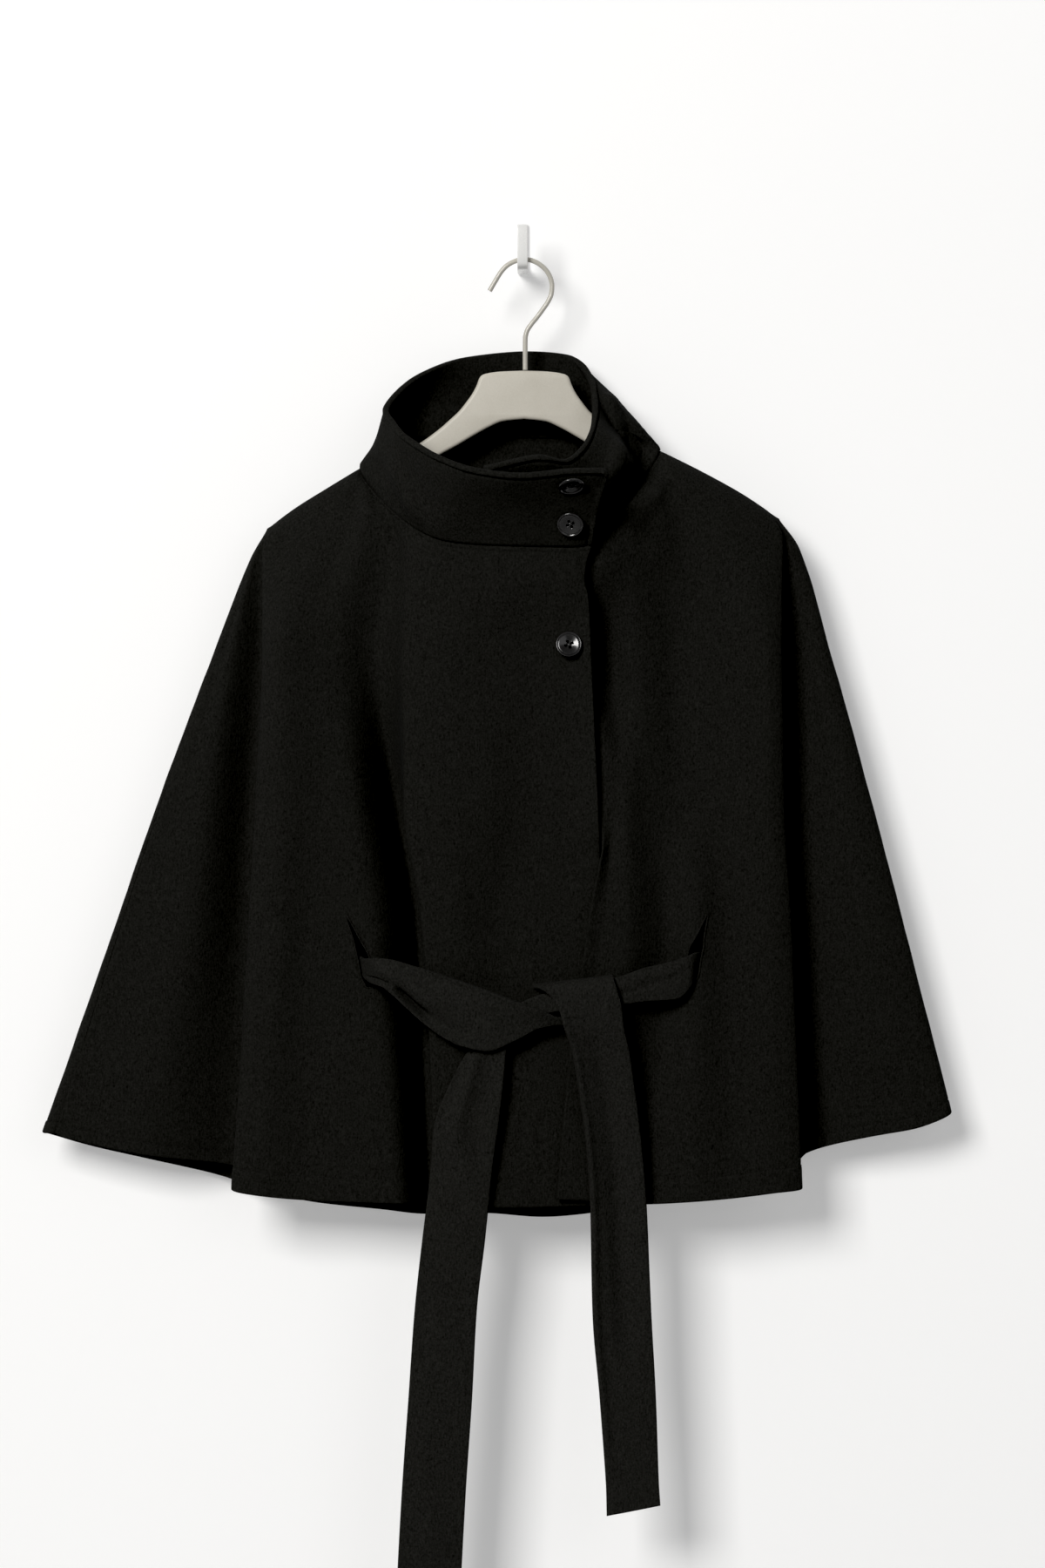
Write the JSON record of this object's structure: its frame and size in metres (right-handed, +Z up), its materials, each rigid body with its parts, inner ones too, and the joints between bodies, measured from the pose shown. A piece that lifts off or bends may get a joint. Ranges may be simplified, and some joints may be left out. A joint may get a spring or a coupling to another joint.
{
  "type": "wool cloak on a hanger and wall hook",
  "caption": "Short wide wool cloak with a high funnel collar buttoned to one side and a tie belt through slits, hung flat on a hanger on a wall hook.",
  "frame": {"origin": "middle of the wall hook's back face, on the wall", "axes": "+Z up, +Y into the wall, so the cloak's front faces -Y, and +X is the wearer's left"},
  "size_m": [0.7759, 0.153, 1.217],
  "materials": {
    "wool": "napped woollen coating, near black",
    "buttons": "polished dark horn look",
    "hanger": "satin, warm off-white",
    "hook_wire": "satin paint, warm off-white",
    "wall_hook": "satin white paint"
  },
  "bodies": {
    "root": {"front_right": "wool", "front_left": "wool", "back": "wool", "collar": "wool", "belt_sling": "wool", "belt_loop": "wool", "belt_strap": "wool", "belt_tail": "wool", "belt_back": "wool", "button_1": "buttons", "button_2": "buttons", "button_3": "buttons", "hanger": "hanger", "hanger_hook": "hook_wire", "wall_hook": "wall_hook"}
  },
  "joints": []
}
